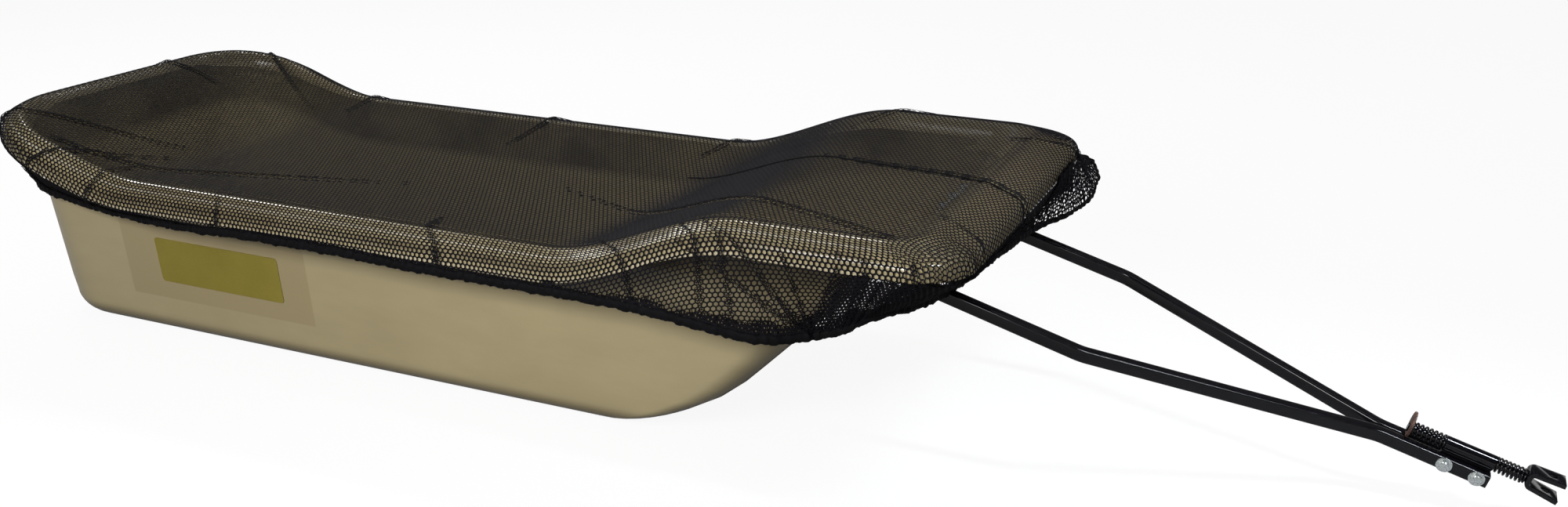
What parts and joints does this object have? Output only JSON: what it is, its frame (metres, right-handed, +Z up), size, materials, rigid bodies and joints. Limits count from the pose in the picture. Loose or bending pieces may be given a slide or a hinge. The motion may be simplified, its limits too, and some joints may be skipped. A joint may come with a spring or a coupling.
{
  "type": "utility sled",
  "caption": "Moulded tub sled with a wide rolled rim, a stretched net cover and a V-shaped tow bar that carries a sprung rod with a clevis.",
  "frame": {"origin": "on the ground under the middle of the hull", "axes": "+X forward, to the hitch; +Y to the sled's left; +Z up"},
  "size_m": [2.6258, 0.7512, 0.3943],
  "materials": {
    "tan_plastic": "satin",
    "olive_label": "matte",
    "black_paint": "semi-gloss",
    "net": "matte",
    "hem": "matte",
    "zinc": "bright zinc",
    "bare_steel": "rusty"
  },
  "bodies": {
    "sled": {"hull_shell": "tan_plastic", "hull_label": "olive_label", "left_bow_bracket": "black_paint", "right_bow_bracket": "black_paint", "left_backing_plate": "zinc", "right_backing_plate": "zinc", "net_cover": "net", "net_border": "net", "net_hem": "hem", "left_bracket_bolt_1": "zinc", "left_bracket_nut_1": "zinc", "left_bracket_bolt_2": "zinc", "left_bracket_nut_2": "zinc", "left_bracket_bolt_3": "zinc", "left_bracket_nut_3": "zinc", "left_bracket_bolt_4": "zinc", "left_bracket_nut_4": "zinc", "left_pivot_bolt": "zinc", "left_pivot_nut": "zinc", "left_pivot_head_washer": "zinc", "left_pivot_nut_washer": "zinc", "right_bracket_bolt_1": "zinc", "right_bracket_nut_1": "zinc", "right_bracket_bolt_2": "zinc", "right_bracket_nut_2": "zinc", "right_bracket_bolt_3": "zinc", "right_bracket_nut_3": "zinc", "right_bracket_bolt_4": "zinc", "right_bracket_nut_4": "zinc", "right_pivot_bolt": "zinc", "right_pivot_nut": "zinc", "right_pivot_head_washer": "zinc", "right_pivot_nut_washer": "zinc"},
    "tow_bar": {"left_tow_arm": "black_paint", "right_tow_arm": "black_paint", "hitch_plate": "black_paint", "shock_sleeve": "black_paint", "rear_spring": "black_paint", "front_spring": "black_paint", "rear_clamp_bolt": "zinc", "rear_clamp_nut": "zinc", "rear_clamp_head_washer": "zinc", "rear_clamp_nut_washer": "zinc", "front_clamp_bolt": "zinc", "front_clamp_nut": "zinc", "front_clamp_head_washer": "zinc", "front_clamp_nut_washer": "zinc"},
    "shock": {"shock_rod": "black_paint", "rear_retainer": "bare_steel", "hitch_clevis": "black_paint"}
  },
  "joints": [
    {"name": "tow_bar_pitch", "type": "hinge", "parent": "sled", "child": "tow_bar", "pos_m": [0.7761, 0, 0.2818], "axis": [0, -1, 0], "range_deg": [-2, 34], "deforming": ["net_border", "net_hem"]},
    {"name": "shock_slide", "type": "slide", "parent": "tow_bar", "child": "shock", "axis": [0.9621, 0, -0.2728], "range_m": [-0.018, 0.018], "stiffness_N_per_m": 12000, "deforming": ["rear_spring", "front_spring"]}
  ]
}
